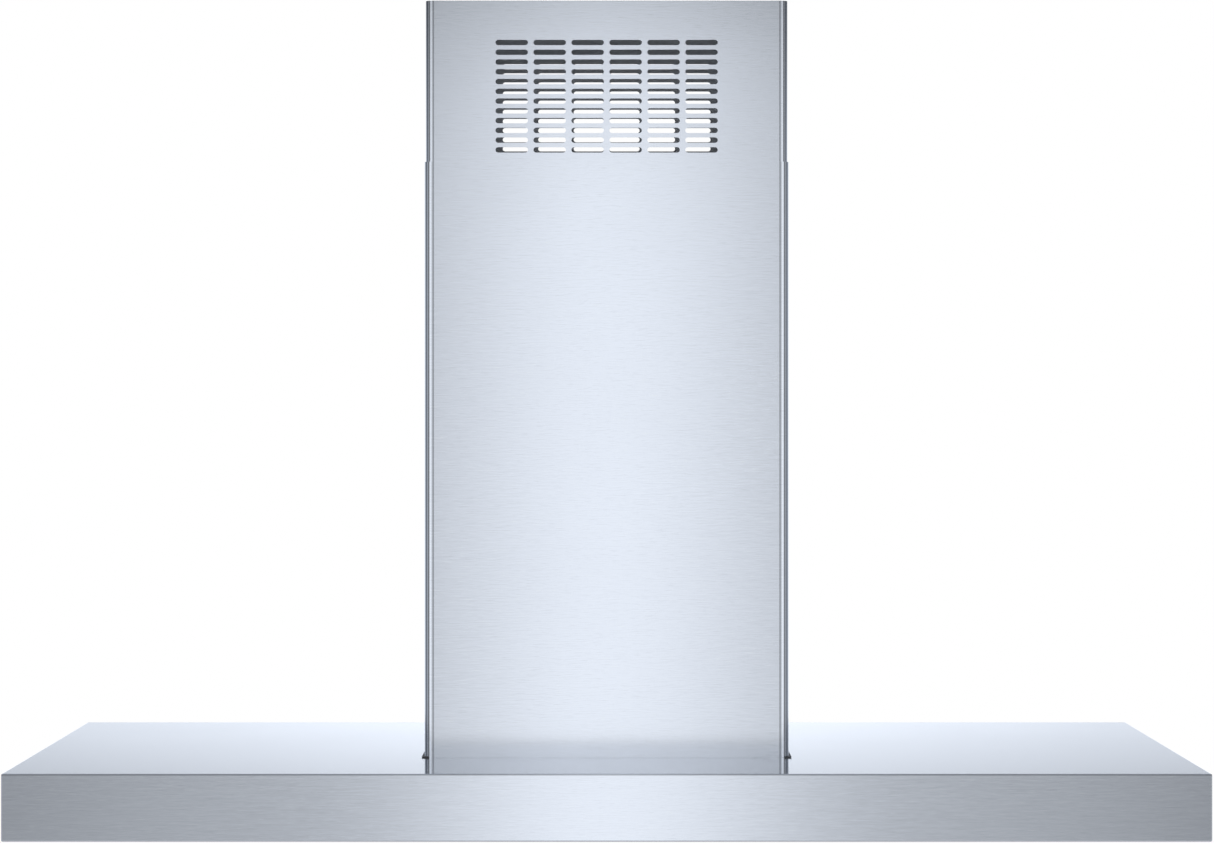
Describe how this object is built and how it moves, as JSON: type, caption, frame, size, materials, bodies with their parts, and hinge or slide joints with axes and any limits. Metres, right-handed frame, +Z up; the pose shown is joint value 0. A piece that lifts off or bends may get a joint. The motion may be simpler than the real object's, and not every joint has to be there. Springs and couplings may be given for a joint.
{
  "type": "island range hood",
  "caption": "Ceiling-hung island range hood: flat slab canopy in brushed steel, telescopic vented chimney, blower, duct collar and hinged grease filters.",
  "frame": {"origin": "bottom centre of the canopy's lower rim", "axes": "+X along the width to the right as seen from the front, +Y towards the rear, +Z up to the ceiling"},
  "size_m": [1.067, 0.65, 0.758],
  "materials": {
    "brushed_steel": "horizontally brushed stainless sheet",
    "galvanised_steel": "galvanised sheet with a faint spangle",
    "zinc_bolt": "zinc-plated",
    "dark_plastic": "matte moulded",
    "fan_plastic": "matte moulded",
    "painted_box": "powder-coated",
    "aluminium": "satin rolled",
    "filter_mesh": "layered expanded mesh",
    "frosted_lens": "frosted",
    "button_steel": "satin",
    "rubber": "matte",
    "shaft_steel": "ground"
  },
  "bodies": {
    "ceiling_frame": {"ceiling_bracket": "galvanised_steel", "upper_frame_band": "galvanised_steel", "upper_chimney_front": "brushed_steel", "upper_chimney_rear": "brushed_steel", "upper_upright_front_left": "galvanised_steel", "upper_upright_front_right": "galvanised_steel", "upper_upright_rear_left": "galvanised_steel", "upper_upright_rear_right": "galvanised_steel", "height_bolt_front_left": "zinc_bolt", "height_bolt_front_right": "zinc_bolt", "height_bolt_rear_left": "zinc_bolt", "height_bolt_rear_right": "zinc_bolt"},
    "hood": {"canopy_shell": "brushed_steel", "underside_panel": "brushed_steel", "base_gasket": "rubber", "lower_frame_band": "galvanised_steel", "blower_box": "galvanised_steel", "scroll_left": "galvanised_steel", "scroll_right": "galvanised_steel", "motor": "dark_plastic", "motor_bracket": "galvanised_steel", "outlet_transition": "galvanised_steel", "outlet_collar": "galvanised_steel", "damper_pin": "shaft_steel", "junction_box": "painted_box", "junction_box_lid": "painted_box", "cable_gland": "dark_plastic", "control_housing": "dark_plastic", "control_bezel": "brushed_steel", "lower_upright_front_left": "galvanised_steel", "lower_upright_front_right": "galvanised_steel", "lower_upright_rear_left": "galvanised_steel", "lower_upright_rear_right": "galvanised_steel", "lamp_housing_1": "dark_plastic", "lamp_housing_2": "dark_plastic", "lamp_housing_3": "dark_plastic", "lamp_housing_4": "dark_plastic", "lamp_lens_1": "frosted_lens", "lamp_lens_2": "frosted_lens", "lamp_lens_3": "frosted_lens", "lamp_lens_4": "frosted_lens"},
    "lower_chimney": {"lower_chimney_front": "brushed_steel", "lower_chimney_rear": "brushed_steel"},
    "fan_wheel": {"impeller": "fan_plastic", "motor_shaft": "shaft_steel"},
    "damper_left": {"damper_left": "galvanised_steel"},
    "damper_right": {"damper_right": "galvanised_steel"},
    "filter_1": {"filter_frame_1": "aluminium", "filter_mesh_1": "filter_mesh"},
    "latch_1": {"filter_latch_1": "button_steel"},
    "filter_2": {"filter_frame_2": "aluminium", "filter_mesh_2": "filter_mesh"},
    "latch_2": {"filter_latch_2": "button_steel"},
    "filter_3": {"filter_frame_3": "aluminium", "filter_mesh_3": "filter_mesh"},
    "latch_3": {"filter_latch_3": "button_steel"},
    "power_button": {"button_power": "button_steel"},
    "slower_button": {"button_slower": "button_steel"},
    "faster_button": {"button_faster": "button_steel"},
    "light_button": {"button_light": "button_steel"}
  },
  "joints": [
    {"name": "height_adjust", "type": "slide", "parent": "ceiling_frame", "child": "hood", "axis": [0, 0, 1], "range_m": [-0.3, 0]},
    {"name": "chimney_lift", "type": "slide", "parent": "hood", "child": "lower_chimney", "axis": [0, 0, 1], "range_m": [0, 0.14]},
    {"name": "fan_spin", "type": "hinge", "parent": "hood", "child": "fan_wheel", "pos_m": [0, -0.007, 0.19], "axis": [1, 0, 0], "continuous": true},
    {"name": "damper_left_swing", "type": "hinge", "parent": "hood", "child": "damper_left", "pos_m": [0, 0, 0.452], "axis": [0, 1, 0], "range_deg": [0, 75]},
    {"name": "damper_right_swing", "type": "hinge", "parent": "hood", "child": "damper_right", "pos_m": [0, 0, 0.452], "axis": [0, -1, 0], "range_deg": [0, 75]},
    {"name": "filter_1_swing", "type": "hinge", "parent": "hood", "child": "filter_1", "pos_m": [-0.289, 0.2, 0.01], "axis": [1, 0, 0], "range_deg": [0, 80]},
    {"name": "latch_1_slide", "type": "slide", "parent": "filter_1", "child": "latch_1", "axis": [0, 1, 0], "range_m": [0, 0.005], "stiffness_N_per_m": 300, "springref_m": -0.004},
    {"name": "filter_2_swing", "type": "hinge", "parent": "hood", "child": "filter_2", "pos_m": [0, 0.2, 0.01], "axis": [1, 0, 0], "range_deg": [0, 80]},
    {"name": "latch_2_slide", "type": "slide", "parent": "filter_2", "child": "latch_2", "axis": [0, 1, 0], "range_m": [0, 0.005], "stiffness_N_per_m": 300, "springref_m": -0.004},
    {"name": "filter_3_swing", "type": "hinge", "parent": "hood", "child": "filter_3", "pos_m": [0.289, 0.2, 0.01], "axis": [1, 0, 0], "range_deg": [0, 80]},
    {"name": "latch_3_slide", "type": "slide", "parent": "filter_3", "child": "latch_3", "axis": [0, 1, 0], "range_m": [0, 0.005], "stiffness_N_per_m": 300, "springref_m": -0.004},
    {"name": "power_press", "type": "slide", "parent": "hood", "child": "power_button", "axis": [0, 0, 1], "range_m": [0, 0.0015], "stiffness_N_per_m": 700, "springref_m": -0.001},
    {"name": "slower_press", "type": "slide", "parent": "hood", "child": "slower_button", "axis": [0, 0, 1], "range_m": [0, 0.0015], "stiffness_N_per_m": 700, "springref_m": -0.001},
    {"name": "faster_press", "type": "slide", "parent": "hood", "child": "faster_button", "axis": [0, 0, 1], "range_m": [0, 0.0015], "stiffness_N_per_m": 700, "springref_m": -0.001},
    {"name": "light_press", "type": "slide", "parent": "hood", "child": "light_button", "axis": [0, 0, 1], "range_m": [0, 0.0015], "stiffness_N_per_m": 700, "springref_m": -0.001}
  ]
}
